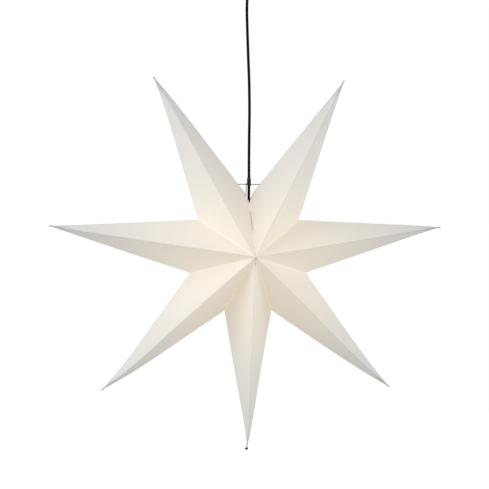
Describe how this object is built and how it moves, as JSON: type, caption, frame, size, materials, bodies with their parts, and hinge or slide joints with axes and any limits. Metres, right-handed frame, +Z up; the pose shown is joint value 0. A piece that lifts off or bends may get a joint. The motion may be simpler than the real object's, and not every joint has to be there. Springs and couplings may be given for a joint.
{
  "type": "paper advent star",
  "caption": "White folded paper advent star with slender points, lit from inside, hanging on a black textile cord from a small ceiling cup.",
  "frame": {"origin": "centre of the ceiling plate's upper face, where the lamp meets the ceiling", "axes": "+Z up out of the ceiling plate, +X to the right as seen from the front, and the star's front peak faces -Y"},
  "size_m": [0.7964, 0.2232, 1.0183],
  "materials": {
    "star_paper": "matt translucent white paper, lit from inside",
    "bead_rubber": "matt dark grey",
    "cord_textile": "braided black textile",
    "black_plastic": "matt black",
    "steel_wire": "plain drawn wire",
    "white_insulator": "matt white",
    "contact_brass": "bare",
    "opal_bulb": "opal white",
    "zinc_steel": "zinc plated"
  },
  "bodies": {
    "root": {"ray_top_left": "star_paper", "ray_left": "star_paper", "ray_lower_left": "star_paper", "ray_bottom": "star_paper", "ray_lower_right": "star_paper", "ray_right": "star_paper", "ray_top_right": "star_paper", "tip_bead": "bead_rubber", "cord": "cord_textile", "cord_grip": "black_plastic", "spreader_wire": "steel_wire", "wire_leg": "steel_wire", "holder_cap": "black_plastic", "holder_body": "black_plastic", "contact_insert": "white_insulator", "centre_contact": "contact_brass", "side_contact": "contact_brass", "terminal_screw_left": "contact_brass", "terminal_screw_right": "contact_brass", "bulb": "opal_bulb", "ceiling_plate": "zinc_steel", "ceiling_cup": "black_plastic", "cord_gland": "black_plastic", "gland_nut": "zinc_steel", "cup_screw": "zinc_steel"}
  },
  "joints": []
}
